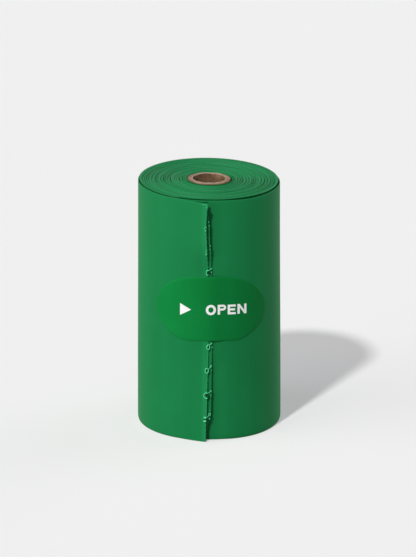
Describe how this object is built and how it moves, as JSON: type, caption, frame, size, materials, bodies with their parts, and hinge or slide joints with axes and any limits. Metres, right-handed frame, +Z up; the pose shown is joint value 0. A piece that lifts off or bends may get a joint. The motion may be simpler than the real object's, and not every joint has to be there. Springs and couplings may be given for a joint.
{
  "type": "roll of dog poop bags",
  "caption": "Roll of folded film bags wound on a paperboard tube, standing on end, with a sprung free edge, torn perforation ties and a round-ended label that holds it closed.",
  "frame": {"origin": "on the axis of the tube's bore, at the foot of the roll", "axes": "+Z up along the bore, -Y towards the free edge and the label, +X to the right as seen from the front"},
  "size_m": [0.0349, 0.0373, 0.0624],
  "materials": {
    "paperboard": "plain brown paperboard with cut edges",
    "bag_film": "satin green polyethylene film",
    "label_film": "smooth printed film, brighter green with white print"
  },
  "bodies": {
    "root": {"core_tube": "paperboard", "bag_roll": "bag_film", "label": "label_film"}
  },
  "joints": []
}
